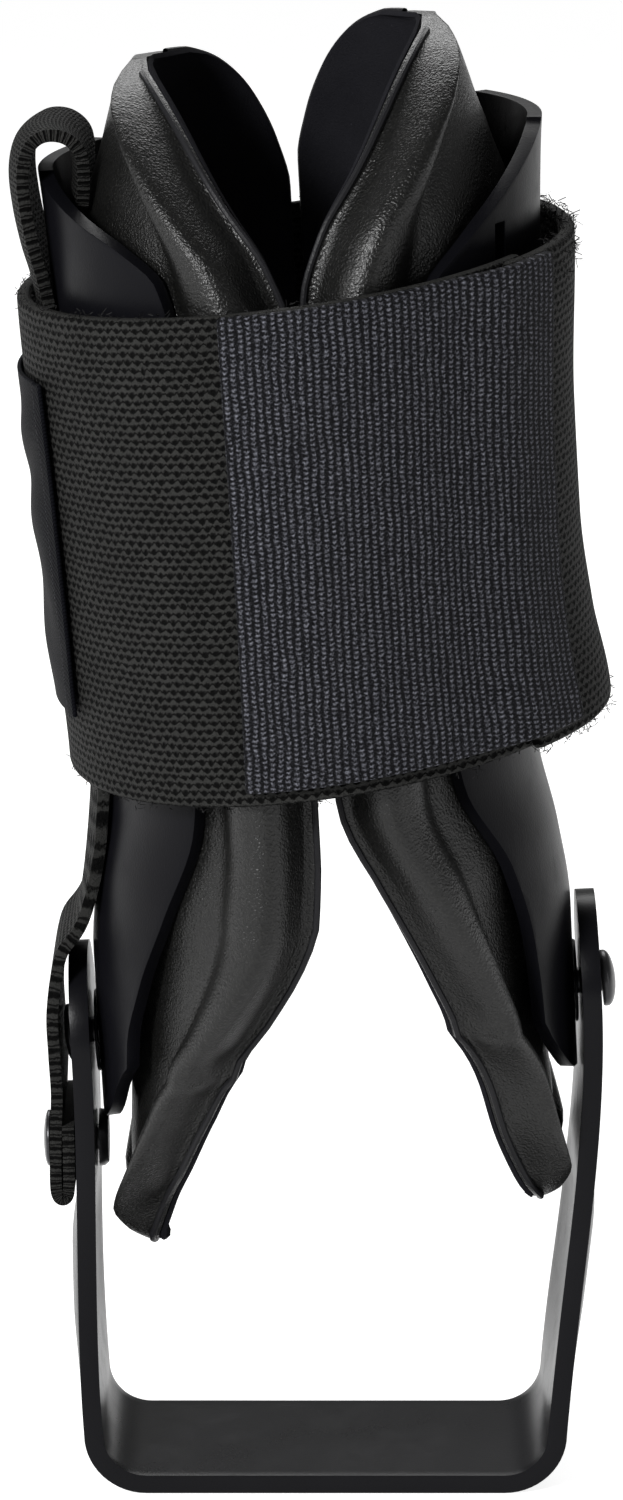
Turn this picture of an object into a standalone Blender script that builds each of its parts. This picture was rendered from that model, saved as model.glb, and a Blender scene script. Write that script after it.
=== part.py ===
"""Stirrup ankle brace: a U-shaped plastic stirrup under the heel, hinged at both ankles to two
moulded side shells with foam pads, closed round the leg by one wide strap.

Metres, +Z up, +X to the right seen from the front. The origin is under the middle of the plate.
The shells, pads and straps are drawn in the cuff's own frame, an empty midway between the hinges.
"""

import math

import bmesh
import bpy
from mathutils import Vector

# Stirrup
STIRRUP_WALL = 0.0032
BASE_WIDTH = 0.0792  # between the middles of the arms' walls, just above the fillets
BASE_DEPTH = 0.035
BASE_FILLET = 0.009  # at the middle of the wall
ARM_DEPTH = 0.030
ARM_BOW = 0.0014  # how far the middle of an arm stands outside its edges
HEAD_RADIUS = 0.0155
ARM_LEAN = math.radians(4.0)  # outwards, just above the fillets
ARM_EDGE = 0.0009

# Cuff frame and hinges
HINGE_HEIGHT = 0.082
HINGE_SHIFT = 0.0018
HINGE_SPAN = 0.0862  # between the middles of the arms' walls
CUFF_LEAN = math.radians(3.0)  # top of the cuff leans to the left
SIDE_STAGGER = 0.0023  # the left shell sits this far down and the right one this far up
HINGE_GAP = 0.0009  # between an arm and its shell

# Shells
SHELL_WALL = 0.0024
SHELL_EDGE = 0.0008
SHELL_DEPTH = 0.088  # of the oval that both shells lie on
SHELL_TOP = 0.1487  # above the hinge
SHELL_END = 0.014  # below the hinge
SHELL_WAIST = 0.0044  # how far the shells draw in above the ankle
SLOT_WIDTH = 0.003
SLOT_ABOVE = 0.005  # how far it goes past the strap's edges
SLOT_BELOW = 0.0015
SLOT_TURN = 34.0  # degrees round the oval, to the front of the outermost side

# Pads and linings
PAD_TOP = 0.1654
PAD_END = 0.0375
PAD_WALL = 0.005  # under the shell
PAD_BULGE = 0.0055  # how far the rim swells past the shell
PAD_FLANGE = 0.0016
PAD_SEAM_GAP = 0.0024  # between the two pads at the front and at the back
LINING_WALL = 0.001
SOFT_GAP = 0.0004  # between soft pieces and what they lie on

# Straps
STRAP_WALL = 0.0024
STRAP_HEIGHT = 0.080
STRAP_MIDDLE = 0.090  # above the cuff frame's origin
STRAP_SLOPE = 0.085  # rise to the right for each unit of width
STRAP_DEPTH = 0.099  # of the under layer, middle to middle
STRAP_TURNS = (-54, 314)  # degrees from the front towards the left
STRAP_OVERLAP = (255, 302)  # where it steps out to go over its own start
TAPE_WALL = 0.002
TAPE_TURNS = (304, 375)
TAPE_SETTLE = (314, 330)  # where it comes down off the strap's end
LABEL_WALL = 0.0008
LABEL_HEIGHT = 0.056
LABEL_TURNS = (64, 112)
KEEPER_WIDTH = 0.025
KEEPER_WALL = 0.0020
KEEPER_TIP = 0.97  # where its round end about the hinge stops, as a share of half its width
KEEPER_FOLD = 0.0030  # its wall where it is folded at its lower end
KEEPER_LIFT = 0.0012  # between the arm and the folded end at its rivet

# Rivets
RIVET_HEAD = 0.0048  # radius
RIVET_DOME = 0.0024
RIVET_LOW_DOME = 0.0012  # under the keeper strap
RIVET_SHANK = 0.0022  # radius
RIVET_FOOT = 0.0036  # radius of the closed inner end
RIVET_FOOT_WALL = 0.0010
STRAP_RIVET_DROP = 0.0192  # below the left hinge
STRAP_RIVET_DISC = 0.0050
BORE_REACH = 0.010  # how far a bore's cutter goes each way
FIT = 0.0003  # gap between touching pieces

PARTS = "stirrup_ankle_brace"
CUTTERS = "cutters"


def clear_scene():
    for thing in list(bpy.data.objects):
        bpy.data.objects.remove(thing, do_unlink=True)


def collection(name):
    made = bpy.data.collections.new(name)
    bpy.context.scene.collection.children.link(made)
    return made


def material(name, colour, roughness, metallic=0.0):
    made = bpy.data.materials.new(name)
    made.use_nodes = True
    shader = made.node_tree.nodes["Principled BSDF"]
    shader.inputs["Base Color"].default_value = (*colour, 1.0)
    shader.inputs["Roughness"].default_value = roughness
    shader.inputs["Metallic"].default_value = metallic
    made.diffuse_color = (*colour, 1.0)
    return made


def smoothstep(low, high, value):
    t = min(1.0, max(0.0, (value - low) / (high - low)))
    return t * t * (3 - 2 * t)


def curve_through(rows, key, column):
    """A smooth value between the rows of a table, by cubic steps that never overshoot."""
    keys = [row[0] for row in rows]
    values = [row[column] for row in rows]
    if key <= keys[0]:
        return values[0]
    if key >= keys[-1]:
        return values[-1]
    slopes = []
    for i in range(len(rows)):
        before = (values[i] - values[i - 1]) / (keys[i] - keys[i - 1]) if i else 0.0
        after = (values[i + 1] - values[i]) / (keys[i + 1] - keys[i]) if i < len(rows) - 1 else 0.0
        flat = before * after <= 0
        slopes.append(0.0 if flat else 2 * before * after / (before + after))
    i = max(j for j in range(len(rows) - 1) if keys[j] <= key)
    span = keys[i + 1] - keys[i]
    t = (key - keys[i]) / span
    start = values[i] * (1 + 2 * t) * (1 - t) ** 2 + slopes[i] * span * t * (1 - t) ** 2
    end = values[i + 1] * t * t * (3 - 2 * t) + slopes[i + 1] * span * t * t * (t - 1)
    return start + end


def mesh_object(name, rows, where, finish, parent=None, loop=False, caps=False):
    """A mesh from a grid of points: an open sheet, or a tube of closed rows with capped ends."""
    mesh = bpy.data.meshes.new(name)
    bm = bmesh.new()
    grid = [[bm.verts.new(point) for point in row] for row in rows]
    for lower, upper in zip(grid, grid[1:]):
        columns = range(len(lower) if loop else len(lower) - 1)
        for i in columns:
            j = (i + 1) % len(lower)
            bm.faces.new((lower[i], lower[j], upper[j], upper[i]))
    if caps:
        half = len(grid[0]) // 2
        for row in (grid[0], grid[-1]):
            for i in range(half - 1):
                bm.faces.new((row[i], row[i + 1], row[-2 - i], row[-1 - i]))
    bmesh.ops.recalc_face_normals(bm, faces=bm.faces)
    bm.to_mesh(mesh)
    bm.free()
    return add_object(name, mesh, where, finish, parent)


def add_object(name, mesh, where, finish, parent=None):
    mesh.materials.append(finish)
    mesh.shade_smooth()
    mesh.set_sharp_from_angle(angle=math.radians(40))
    made = bpy.data.objects.new(name, mesh)
    where.objects.link(made)
    made.parent = parent
    return made


def add_wall(thing, wall, bevel=0.0):
    """Gives a sheet its wall, half on each side, and breaks its rim's edges."""
    solid = thing.modifiers.new("wall", "SOLIDIFY")
    solid.thickness = wall
    solid.offset = 0.0
    solid.use_even_offset = True
    if bevel:
        rim = thing.modifiers.new("rim", "BEVEL")
        rim.width = bevel
        rim.segments = 1
        rim.limit_method = "ANGLE"
        rim.angle_limit = math.radians(50)


def cut(thing, cutter):
    step = thing.modifiers.new("cut", "BOOLEAN")
    step.operation = "DIFFERENCE"
    step.solver = "EXACT"
    step.object = cutter


def turned(name, profile, where, finish, parent=None, steps=16):
    """A profile of (radius, along) pairs, top first on its outer side, turned about local Z."""
    mesh = bpy.data.meshes.new(name)
    bm = bmesh.new()
    points = [bm.verts.new((radius, 0.0, along)) for radius, along in profile]
    for a, b in zip(points, points[1:]):
        bm.edges.new((a, b))
    bm.to_mesh(mesh)
    bm.free()
    made = add_object(name, mesh, where, finish, parent)
    screw = made.modifiers.new("turn", "SCREW")
    screw.steps = steps
    screw.render_steps = steps
    screw.use_merge_vertices = True
    screw.merge_threshold = 0.00002
    screw.use_smooth_shade = True
    return made


def hinge_point(side):
    """The middle of an arm's wall on the hinge axis, in the cuff frame."""
    return Vector((side * HINGE_SPAN / 2, 0.0, side * SIDE_STAGGER))


def cuff_to_world(point):
    along = Vector((math.cos(CUFF_LEAN), 0.0, math.sin(CUFF_LEAN)))
    up = Vector((-math.sin(CUFF_LEAN), 0.0, math.cos(CUFF_LEAN)))
    centre = Vector((HINGE_SHIFT, 0.0, HINGE_HEIGHT))
    return centre + along * point[0] + up * point[2] + Vector((0.0, point[1], 0.0))


def arm_path(side):
    """Places of an arm's wall from the middle of the plate to the top of its head, each with
    the way outwards and half the depth there."""
    half = BASE_WIDTH / 2
    floor = STIRRUP_WALL / 2
    places = []
    flat = half - BASE_FILLET
    for share in (0.0, 0.45, 0.9):
        places.append((Vector((side * flat * share, 0, floor)), Vector((0, 0, -1)), BASE_DEPTH / 2, 0.0))
    for step in range(7):
        turn = math.radians(90 * step / 6)
        middle = Vector((side * (flat + BASE_FILLET * math.sin(turn)), 0,
                         floor + BASE_FILLET * (1 - math.cos(turn))))
        out = Vector((side * math.sin(turn), 0, -math.cos(turn)))
        places.append((middle, out, BASE_DEPTH / 2, 0.0))
    start = places[-1][0].copy()
    hinge = cuff_to_world(hinge_point(side))
    up = Vector((-math.sin(CUFF_LEAN), 0, math.cos(CUFF_LEAN)))
    rise = (hinge - start).length
    lean_out = Vector((side * math.sin(ARM_LEAN), 0, math.cos(ARM_LEAN)))
    steps = 10
    for step in range(1, steps + 1):
        t = step / steps
        spot = (start * (2 * t ** 3 - 3 * t ** 2 + 1) + hinge * (3 * t ** 2 - 2 * t ** 3)
                + lean_out * rise * (t ** 3 - 2 * t ** 2 + t) + up * rise * (t ** 3 - t ** 2))
        pull = (start * (6 * t * t - 6 * t) + hinge * (6 * t - 6 * t * t)
                + lean_out * rise * (3 * t * t - 4 * t + 1) + up * rise * (3 * t * t - 2 * t))
        heading = pull.normalized()
        out = Vector((side * heading.z, 0, -side * heading.x))
        waist = smoothstep(0.0, 0.45, t)
        depth = BASE_DEPTH + (ARM_DEPTH - BASE_DEPTH) * waist
        depth += (2 * HEAD_RADIUS - ARM_DEPTH) * smoothstep(0.75, 1.0, t)
        bow = ARM_BOW * smoothstep(0.0, 0.3, t) * (1 - smoothstep(0.45, 0.65, t))
        places.append((spot, out, depth / 2, bow))
    out = Vector((side * up.z, 0, -side * up.x))
    for angle in (15, 32, 48, 62, 74, 84):
        turn = math.radians(angle)
        spot = hinge + up * HEAD_RADIUS * math.sin(turn)
        places.append((spot, out, HEAD_RADIUS * math.cos(turn), 0.0))
    return places


def make_stirrup(where, finish):
    left = arm_path(-1)
    right = arm_path(1)
    rows = []
    for spot, out, half_depth, bow in list(reversed(left)) + right[1:]:
        row = []
        for step in range(7):
            across = step / 3 - 1
            row.append(spot + out * bow * (1 - across * across) + Vector((0, half_depth * across, 0)))
        rows.append(row)
    stirrup = mesh_object("stirrup", rows, where, finish)
    add_wall(stirrup, STIRRUP_WALL, bevel=ARM_EDGE)
    return stirrup


# Height from the hinge as a share of SHELL_TOP, or of SHELL_END below it, share of the waist, front
# edge of the left shell and of the right one and their rear edge in degrees round the oval
SHELL_ROWS = [
    (-1.000, 0.0, 3.0, 3.0, 3.0),
    (-0.900, 0.0, 11.0, 11.0, 11.0),
    (-0.650, 0.0, 18.5, 19.0, 18.5),
    (-0.270, 0.0, 24.5, 27.0, 24.5),
    (0.030, 0.0, 31.0, 31.5, 31.0),
    (0.100, 0.0, 37.5, 34.0, 37.5),
    (0.190, 0.35, 46.0, 38.5, 46.0),
    (0.300, 1.0, 54.5, 50.5, 54.5),
    (0.450, 0.85, 58.5, 57.0, 58.5),
    (0.620, 0.5, 60.0, 60.0, 60.0),
    (0.760, 0.22, 60.5, 60.5, 60.5),
    (0.850, 0.1, 60.0, 58.0, 60.5),
    (0.905, 0.02, 57.0, 45.0, 60.0),
    (0.940, -0.04, 46.0, 33.0, 58.0),
    (0.965, -0.09, 31.0, 23.0, 54.0),
    (0.985, -0.14, 18.0, 14.0, 47.0),
    (1.000, -0.18, 8.0, 7.0, 37.0),
]


def from_hinge(share, top, end):
    """A height from the hinge, out of a share of the length above it or of the length below."""
    return share * (top if share > 0 else end)


def to_share(height, top, end):
    return height / (top if height > 0 else end)


def shell_half_width(height):
    """Half width of the shells' oval, at the middle of the wall, at a height above the hinge."""
    seat = HINGE_SPAN / 2 - STIRRUP_WALL / 2 - HINGE_GAP - SHELL_WALL / 2
    share = to_share(height, SHELL_TOP, SHELL_END)
    return seat - SHELL_WAIST * curve_through(SHELL_ROWS, share, 1)


def make_shell(side, where, finish, parent):
    rows = []
    for share, _, front_left, front_right, rear in SHELL_ROWS:
        front = front_right if side > 0 else front_left
        height = from_hinge(share, SHELL_TOP, SHELL_END)
        width = shell_half_width(height)
        row = []
        for step in range(15):
            turn = math.radians(-front + (front + rear) * step / 14)
            row.append((side * width * math.cos(turn), SHELL_DEPTH / 2 * math.sin(turn),
                        side * SIDE_STAGGER + height))
        rows.append(row)
    name = "right_shell" if side > 0 else "left_shell"
    shell = mesh_object(name, rows, where, finish, parent)
    add_wall(shell, SHELL_WALL, bevel=SHELL_EDGE)
    return shell


# Heights of the shells' own rows where they flare and at their waist, as shares of PAD_TOP
PAD_FLARE = SHELL_ROWS[6][0] * SHELL_TOP / PAD_TOP
PAD_WAIST = SHELL_ROWS[7][0] * SHELL_TOP / PAD_TOP

# Height from the hinge as a share of PAD_TOP, or of PAD_END below it, drawing in of the outer oval
# as a share of its half width and of its half depth, front edge of the left pad and of the right
# pad and their rear edge in degrees round the oval, and how full the bulge is
PAD_ROWS = [
    (-1.000, 0.100, 0.290, 7.0, 7.0, 7.0, 0.0),
    (-0.955, 0.060, 0.245, 10.5, 13.0, 12.5, 0.12),
    (-0.880, 0.020, 0.210, 14.5, 19.5, 19.0, 0.5),
    (-0.740, -0.010, 0.165, 20.5, 25.5, 26.5, 0.92),
    (-0.520, -0.005, 0.110, 33.0, 33.0, 35.5, 1.0),
    (-0.260, 0.012, 0.080, 44.5, 38.5, 44.0, 1.0),
    (0.006, 0.030, 0.040, 57.0, 50.0, 54.0, 1.0),
    (0.060, 0.030, 0.020, 69.0, 57.0, 64.0, 1.0),
    (0.130, 0.020, 0.000, 82.0, 67.5, 75.0, 1.0),
    (PAD_FLARE, 0.000, 0.000, 86.5, 74.0, 81.0, 1.0),
    (PAD_WAIST, 0.000, 0.000, 88.0, 85.0, 88.0, 1.0),
    (0.450, 0.000, 0.000, 88.0, 88.0, 88.0, 1.0),
    (0.620, 0.000, 0.000, 88.0, 88.0, 88.0, 1.0),
    (0.760, 0.000, 0.000, 88.0, 88.0, 88.0, 1.0),
    (0.825, 0.050, 0.015, 82.0, 82.0, 88.0, 1.0),
    (0.880, 0.140, 0.050, 69.0, 69.0, 84.0, 1.0),
    (0.930, 0.215, 0.110, 54.0, 54.0, 76.0, 1.0),
    (0.965, 0.250, 0.170, 40.0, 40.0, 65.0, 0.85),
    (0.988, 0.268, 0.220, 25.0, 25.0, 48.0, 0.45),
    (1.000, 0.280, 0.260, 13.0, 13.0, 26.0, 0.0),
]

# Place across a pad as a share of its edge angle, and the bulge and the wall there
PAD_COLUMNS = [
    (-1.00, 0.00, 0.0),
    (-0.95, 0.05, 0.1),
    (-0.92, 0.80, 0.6),
    (-0.87, 1.00, 1.0),
    (-0.81, 0.90, 1.0),
    (-0.76, 0.45, 1.0),
    (-0.725, 0.00, 1.0),
    (-0.45, 0.00, 1.0),
    (-0.22, 0.00, 1.0),
    (0.00, 0.00, 1.0),
    (0.22, 0.00, 1.0),
    (0.45, 0.00, 1.0),
    (0.725, 0.00, 1.0),
    (0.76, 0.45, 1.0),
    (0.81, 0.90, 1.0),
    (0.87, 1.00, 1.0),
    (0.92, 0.80, 0.6),
    (0.95, 0.05, 0.1),
    (1.00, 0.00, 0.0),
]


def pad_oval(share):
    """Half width and half depth of a pad's seat against its shell."""
    height = from_hinge(share, PAD_TOP, PAD_END)
    seat_gap = SHELL_WALL / 2 + SOFT_GAP
    width = shell_half_width(height) - seat_gap
    if share < 0.3:
        width = min(width, HINGE_SPAN / 2 - STIRRUP_WALL / 2 - HINGE_GAP - SHELL_WALL
                    - RIVET_FOOT_WALL - FIT - SOFT_GAP - 2 * tilt_room())
    depth = SHELL_DEPTH / 2 - seat_gap
    return (width * (1 - curve_through(PAD_ROWS, share, 1)),
            depth * (1 - curve_through(PAD_ROWS, share, 2)))


def pad_section(side, row, inset):
    """Outer points and inner points of a pad at one row; inset moves the inner ones inwards."""
    share, _, _, front_left, front_right, rear, full = row
    front = front_right if side > 0 else front_left
    width, depth = pad_oval(share)
    height = side * SIDE_STAGGER + from_hinge(share, PAD_TOP, PAD_END)
    outer = []
    inner = []
    for place, bulge, wall in PAD_COLUMNS:
        turn = math.radians(place * (rear if place > 0 else front))
        thick = PAD_FLANGE + (PAD_WALL - PAD_FLANGE) * wall * (0.35 + 0.65 * full)
        grow = PAD_BULGE * bulge * full
        back = PAD_WALL * (0.5 + 0.5 * full if share < 0 else 1.0) + inset
        x = max((width - back) * math.cos(turn), PAD_SEAM_GAP / 2)
        y = (depth - back) * math.sin(turn)
        inner.append(Vector((side * x, y, height)))
        push = thick + grow + inset
        normal = Vector((math.cos(turn) / width, math.sin(turn) / depth, 0)).normalized()
        reach = max(x + normal.x * push, PAD_SEAM_GAP / 2)
        outer.append(Vector((side * reach, y + normal.y * push, height)))
    return outer, inner


def make_slot(shell, where, finish, parent):
    """The upright slot in the right shell that the wide strap comes out of."""
    mesh = bpy.data.meshes.new("strap_slot")
    bm = bmesh.new()
    bmesh.ops.create_cube(bm, size=1.0)
    length = STRAP_HEIGHT + SLOT_ABOVE + SLOT_BELOW
    bmesh.ops.scale(bm, vec=(SHELL_WALL * 6, SLOT_WIDTH, length), verts=bm.verts)
    bm.to_mesh(mesh)
    bm.free()
    cutter = add_object("strap_slot", mesh, where, finish, parent)
    turn = math.radians(SLOT_TURN)
    width = shell_half_width(STRAP_MIDDLE)
    x = width * math.cos(turn)
    y = -SHELL_DEPTH / 2 * math.sin(turn)
    cutter.location = (x, y, STRAP_MIDDLE + (SLOT_ABOVE - SLOT_BELOW) / 2 + STRAP_SLOPE * x)
    cutter.rotation_euler = (0.0, 0.0, math.atan2(y / (SHELL_DEPTH / 2) ** 2, x / width ** 2))
    cutter.hide_render = True
    cutter.display_type = "WIRE"
    cut(shell, cutter)


def make_pad(side, where, finish, parent):
    rows = []
    for row in PAD_ROWS:
        outer, inner = pad_section(side, row, 0.0)
        rows.append(outer + list(reversed(inner)))
    name = "right_pad" if side > 0 else "left_pad"
    return mesh_object(name, rows, where, finish, parent, loop=True, caps=True)


def make_lining(side, where, finish, parent):
    rows = []
    for row in PAD_ROWS[2:-2]:
        _, inner = pad_section(side, row, SOFT_GAP + LINING_WALL / 2)
        rows.append(inner[::2])
    name = "right_lining" if side > 0 else "left_lining"
    lining = mesh_object(name, rows, where, finish, parent)
    add_wall(lining, LINING_WALL)
    return lining


# Rise from -1 at the strap's lower edge to 1 at the upper, and how far its middle stands outside
# the arms' middles at the hinges, on the left and right
STRAP_WIDTHS = [
    (-1.0, -0.0019, 0.0036),
    (-0.6, -0.0011, 0.0011),
    (-0.2, -0.0004, -0.0004),
    (0.3, 0.0006, -0.0006),
    (1.0, 0.0019, 0.0006),
]


def strap_place(turn, rise, layer):
    """A place on the wide strap: turn in degrees from the front towards the left, rise from -1 at
    the lower edge to 1 at the upper, layer as a distance outside the under layer's middle."""
    angle = math.radians(turn)
    left = curve_through(STRAP_WIDTHS, rise, 1)
    right = curve_through(STRAP_WIDTHS, rise, 2)
    width = HINGE_SPAN / 2 + (left + right) / 2 + (left - right) / 2 * math.sin(angle)
    x = -(width + layer) * math.sin(angle)
    y = -(STRAP_DEPTH / 2 + layer) * math.cos(angle)
    return Vector((x, y, STRAP_MIDDLE + STRAP_SLOPE * x + STRAP_HEIGHT / 2 * rise))


def strap_layer(turn):
    """How far out the strap lies once it comes round over its own start."""
    step = STRAP_WALL / 2 + TAPE_WALL / 2 + SOFT_GAP
    return step * smoothstep(*STRAP_OVERLAP, turn)


def make_band(name, turns, rises, offsets, wall, where, finish, parent):
    """A stretch of the strap's loop, with its distance outside the strap's middle at each turn."""
    rows = []
    for rise in rises:
        row = []
        for turn, offset in zip(turns, offsets):
            row.append(strap_place(turn, rise, strap_layer(turn) + offset))
        rows.append(row)
    band = mesh_object(name, rows, where, finish, parent)
    add_wall(band, wall)
    return band


def steps_between(start, end, count):
    return [start + (end - start) * i / count for i in range(count + 1)]


# The keeper strap's middle line from its inner end over the shell's top and down outside the shell:
# distance outside the shell's middle as a share of the strap's wall, and height as one of SHELL_TOP
KEEPER_ROUTE = [
    (-2.20, 0.965),
    (-2.65, 0.995),
    (-2.50, 1.025),
    (-1.20, 1.042),
    (0.60, 1.044),
    (1.90, 1.030),
    (2.50, 1.000),
    (2.60, 0.960),
    (2.30, 0.920),
    (1.80, 0.885),
    (1.50, 0.840),
    (1.45, 0.700),
    (1.45, 0.520),
    (1.45, 0.400),
    (1.45, 0.320),
]


def keeper_route():
    """The upper stretch of the keeper strap, down to its round end about the hinge."""
    places = []
    for outside, share in KEEPER_ROUTE:
        height = share * SHELL_TOP
        x = -shell_half_width(height) - outside * KEEPER_WALL
        places.append(Vector((x, 0.0, height - SIDE_STAGGER)))
    hinge = hinge_point(-1)
    clear = keeper_clear()
    for out, rise in ((-0.40, 1.60), (0.52, 1.10), (0.95, 0.50)):
        places.append(Vector((hinge.x - clear * out, 0.0, hinge.z + HEAD_RADIUS * rise)))
    for drop in (0.0, 0.45, 0.78, KEEPER_TIP):
        places.append(Vector((hinge.x - clear, 0.0, hinge.z - KEEPER_WIDTH / 2 * drop)))
    return places


def keeper_clear():
    """Middle of the keeper strap outside the middle of the arm's wall, clear of the rivet head."""
    return STIRRUP_WALL / 2 + tilt_room() + FIT + RIVET_LOW_DOME + FIT + KEEPER_WALL / 2


def arm_beside(drop):
    """The middle of the left arm's wall at a drop below the hinge, and the way outwards."""
    level = cuff_to_world(hinge_point(-1)).z - drop
    places = [place for place in arm_path(-1) if place[0].z > BASE_FILLET]
    upper = next(i for i, place in enumerate(places) if place[0].z >= level)
    low, high = places[upper - 1], places[upper]
    share = (level - low[0].z) / (high[0].z - low[0].z)
    return low[0].lerp(high[0], share), low[1].lerp(high[1], share).normalized()


def ribbon(name, places, half_widths, wraps, wall, where, finish, parent):
    """A flat strap along places on one side, bent round with the shells' oval where it wraps."""
    rows = []
    for spot, half, wrap in zip(places, half_widths, wraps):
        row = []
        for step in range(-3, 4):
            y = half * step / 3
            sag = abs(spot.x) * (1 - math.sqrt(1 - (2 * y / SHELL_DEPTH) ** 2))
            row.append(Vector((spot.x - math.copysign(sag * wrap, spot.x), y, spot.z)))
        rows.append(row)
    made = mesh_object(name, rows, where, finish, parent)
    add_wall(made, wall)
    return made


def smooth_route(points, count):
    """Evenly shared places on a smooth line through the points."""
    places = []
    for i in range(len(points) - 1):
        before = points[max(i - 1, 0)]
        after = points[min(i + 2, len(points) - 1)]
        start, end = points[i], points[i + 1]
        for step in range(count):
            t = step / count
            places.append(0.5 * ((2 * start) + (end - before) * t
                                 + (2 * before - 5 * start + 4 * end - after) * t * t
                                 + (3 * start - before - 3 * end + after) * t ** 3))
    places.append(points[-1].copy())
    return places


def make_keeper(where, finish, cuff):
    route = smooth_route(keeper_route(), 2)
    hinge = hinge_point(-1)
    halves = []
    wraps = []
    half = KEEPER_WIDTH / 2
    for spot in route:
        below = max(0.0, hinge.z - spot.z)
        halves.append(math.sqrt(half * half - below * below))
        wraps.append(smoothstep(HEAD_RADIUS * 1.1, HEAD_RADIUS * 2.4, spot.z - hinge.z))
    ribbon("keeper_strap_upper", route, halves, wraps, KEEPER_WALL, where, finish, cuff)

    lower = []
    for drop, lift in ((half + 3 * FIT, 1.0), (STRAP_RIVET_DROP, 1.0), (STRAP_RIVET_DROP * 1.34, 0.6)):
        spot, out = arm_beside(drop)
        lower.append(spot + out * (STIRRUP_WALL / 2 + KEEPER_LIFT * lift + KEEPER_FOLD / 2))
    places = smooth_route(lower, 3)
    return ribbon("keeper_strap_lower", places, [half] * len(places), [0.0] * len(places),
                  KEEPER_FOLD, where, finish, None)


def dome_profile(radius, rise, base):
    steps = 5
    points = []
    for i in range(steps + 1):
        turn = math.radians(90 * (1 - i / steps))
        points.append((radius * math.cos(turn), base + rise * (0.25 + 0.75 * math.sin(turn))))
    points.append((radius, base))
    return points


def hinge_direction():
    return (hinge_point(1) - hinge_point(-1)).normalized()


def tilt_room():
    """Room under a rivet's head, because the hinge axis leans against the arms' faces."""
    return RIVET_HEAD * abs(hinge_direction().z)


def make_bore(rivet, cutters, finish, parent):
    """The cutter for a rivet's bore, in the rivet's own place."""
    bore = RIVET_SHANK + FIT
    profile = [(0.0, BORE_REACH), (bore, BORE_REACH), (bore, -BORE_REACH), (0.0, -BORE_REACH)]
    cutter = turned(rivet.name + "_bore", profile, cutters, finish, parent)
    cutter.location = rivet.location
    cutter.rotation_euler = rivet.rotation_euler
    cutter.hide_render = True
    cutter.display_type = "WIRE"
    return cutter


def make_hinge_rivet(side, where, finish, cutters, stirrup, shell, cuff):
    """A domed rivet through arm and shell, turned about the hinge axis, closed inside the shell."""
    arm_out = STIRRUP_WALL / 2 + FIT + tilt_room()
    shell_in = -STIRRUP_WALL / 2 - HINGE_GAP - SHELL_WALL - FIT - tilt_room()
    dome = RIVET_DOME if side > 0 else RIVET_LOW_DOME
    profile = dome_profile(RIVET_HEAD, dome, arm_out)
    profile += [(RIVET_SHANK, arm_out), (RIVET_SHANK, shell_in), (RIVET_FOOT, shell_in),
                (RIVET_FOOT, shell_in - RIVET_FOOT_WALL), (0.0, shell_in - RIVET_FOOT_WALL)]
    name = "right_hinge_rivet" if side > 0 else "left_hinge_rivet"
    rivet = turned(name, profile, where, finish, cuff)
    rivet.location = hinge_point(side)
    rivet.rotation_euler = (hinge_direction() * side).to_track_quat("Z", "Y").to_euler()
    cutter = make_bore(rivet, cutters, finish, cuff)
    cut(stirrup, cutter)
    cut(shell, cutter)
    return rivet


def make_strap_rivet(where, finish, cutters, stirrup, keeper):
    """The rivet that fastens the keeper strap to the left arm, with a spacer between them."""
    arm_in = -STIRRUP_WALL / 2 - FIT
    strap_out = STIRRUP_WALL / 2 + KEEPER_LIFT + KEEPER_FOLD + 2 * FIT
    profile = dome_profile(RIVET_HEAD, RIVET_LOW_DOME, strap_out)
    profile += [(RIVET_SHANK, strap_out), (RIVET_SHANK, arm_in), (STRAP_RIVET_DISC, arm_in),
                (STRAP_RIVET_DISC * 0.85, arm_in - RIVET_FOOT_WALL * 1.6),
                (0.0, arm_in - RIVET_FOOT_WALL * 1.6)]
    rivet = turned("strap_rivet", profile, where, finish)
    rivet.location, out = arm_beside(STRAP_RIVET_DROP)
    rivet.rotation_euler = out.to_track_quat("Z", "Y").to_euler()
    cutter = make_bore(rivet, cutters, finish, None)
    cut(stirrup, cutter)
    cut(keeper, cutter)
    return rivet


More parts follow.
